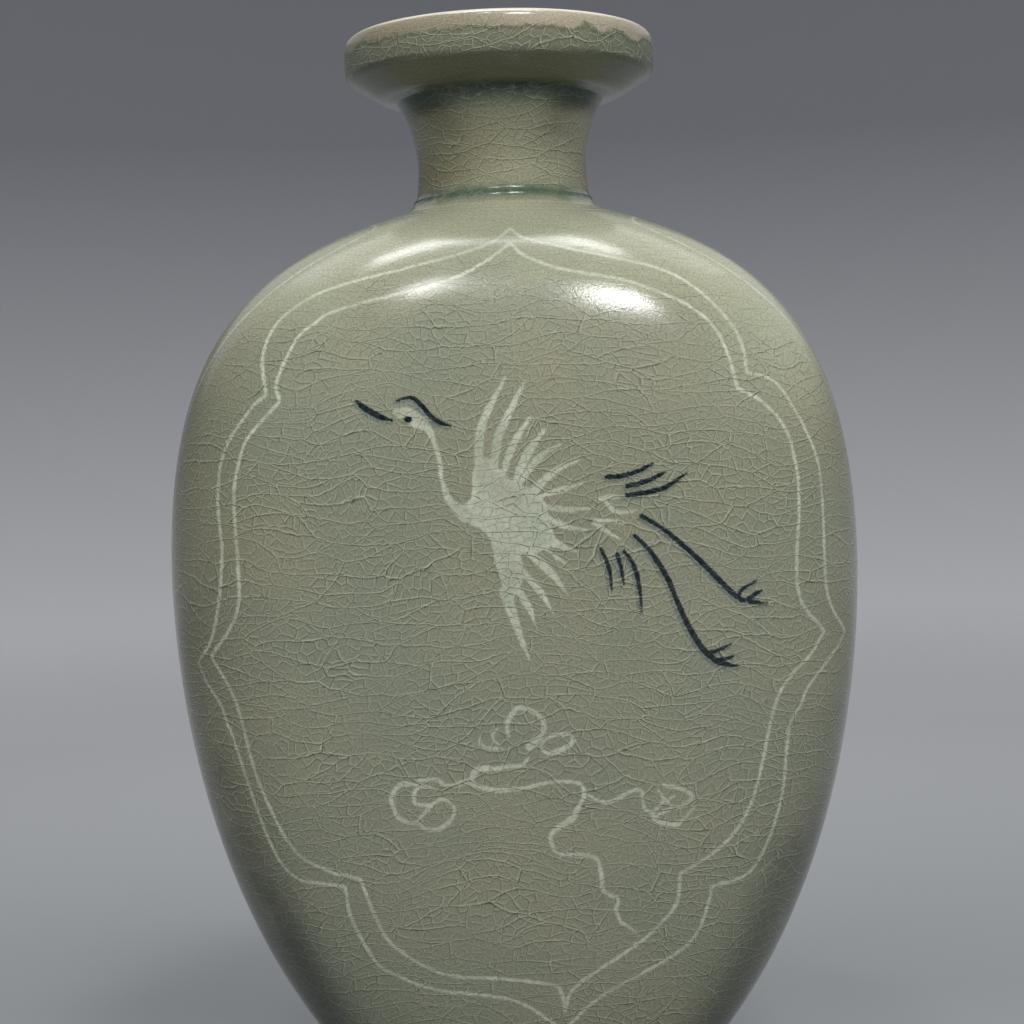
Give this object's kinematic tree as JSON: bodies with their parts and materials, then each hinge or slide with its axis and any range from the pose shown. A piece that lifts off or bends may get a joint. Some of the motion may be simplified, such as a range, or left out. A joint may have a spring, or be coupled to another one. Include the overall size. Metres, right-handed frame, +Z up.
{
  "type": "flat vase",
  "caption": "Flattened stoneware vase with a short neck, dish mouth and oval foot, green crackle glaze and an inlaid crane and cloud in a lobed frame.",
  "frame": {"origin": "centre of the foot ring's underside, on the surface that the vase stands on", "axes": "+Z up along the neck's axis, +X along the body's broad width, -Y out of the front face with the crane's bill towards -X"},
  "size_m": [0.147, 0.1, 0.24],
  "materials": {
    "celadon_glaze": "grey-green crackled glaze over grey stoneware, glossy",
    "white_slip": "white slip under the same glaze, soft edges",
    "black_slip": "blue-black slip under the same glaze, faint blue-grey halo"
  },
  "bodies": {
    "root": {"body": "celadon_glaze", "foot_ring": "celadon_glaze", "neck": "celadon_glaze", "mouth": "celadon_glaze", "front_frame_outer": "white_slip", "front_frame_inner": "white_slip", "front_crane": "white_slip", "front_crane_tail_upper": "white_slip", "front_crane_tail_lower": "white_slip", "front_cloud_scroll": "white_slip", "front_cloud_curl": "white_slip", "front_cloud_arc_inner": "white_slip", "front_cloud_arc_outer": "white_slip", "front_cloud_hook": "white_slip", "front_crane_eye": "black_slip", "front_crane_bill": "black_slip", "front_crane_crest": "black_slip", "front_crane_plume_1": "black_slip", "front_crane_plume_2": "black_slip", "front_crane_plume_3": "black_slip", "front_crane_plume_4": "black_slip", "front_crane_plume_5": "black_slip", "front_crane_plume_6": "black_slip", "front_crane_leg_upper": "black_slip", "front_crane_leg_lower": "black_slip", "back_frame_outer": "white_slip", "back_frame_inner": "white_slip", "back_crane": "white_slip", "back_crane_tail_upper": "white_slip", "back_crane_tail_lower": "white_slip", "back_cloud_scroll": "white_slip", "back_cloud_curl": "white_slip", "back_cloud_arc_inner": "white_slip", "back_cloud_arc_outer": "white_slip", "back_cloud_hook": "white_slip", "back_crane_eye": "black_slip", "back_crane_bill": "black_slip", "back_crane_crest": "black_slip", "back_crane_plume_1": "black_slip", "back_crane_plume_2": "black_slip", "back_crane_plume_3": "black_slip", "back_crane_plume_4": "black_slip", "back_crane_plume_5": "black_slip", "back_crane_plume_6": "black_slip", "back_crane_leg_upper": "black_slip", "back_crane_leg_lower": "black_slip", "right_side_line": "white_slip", "right_side_dot": "black_slip", "left_side_line": "white_slip", "left_side_dot": "black_slip"}
  },
  "joints": []
}
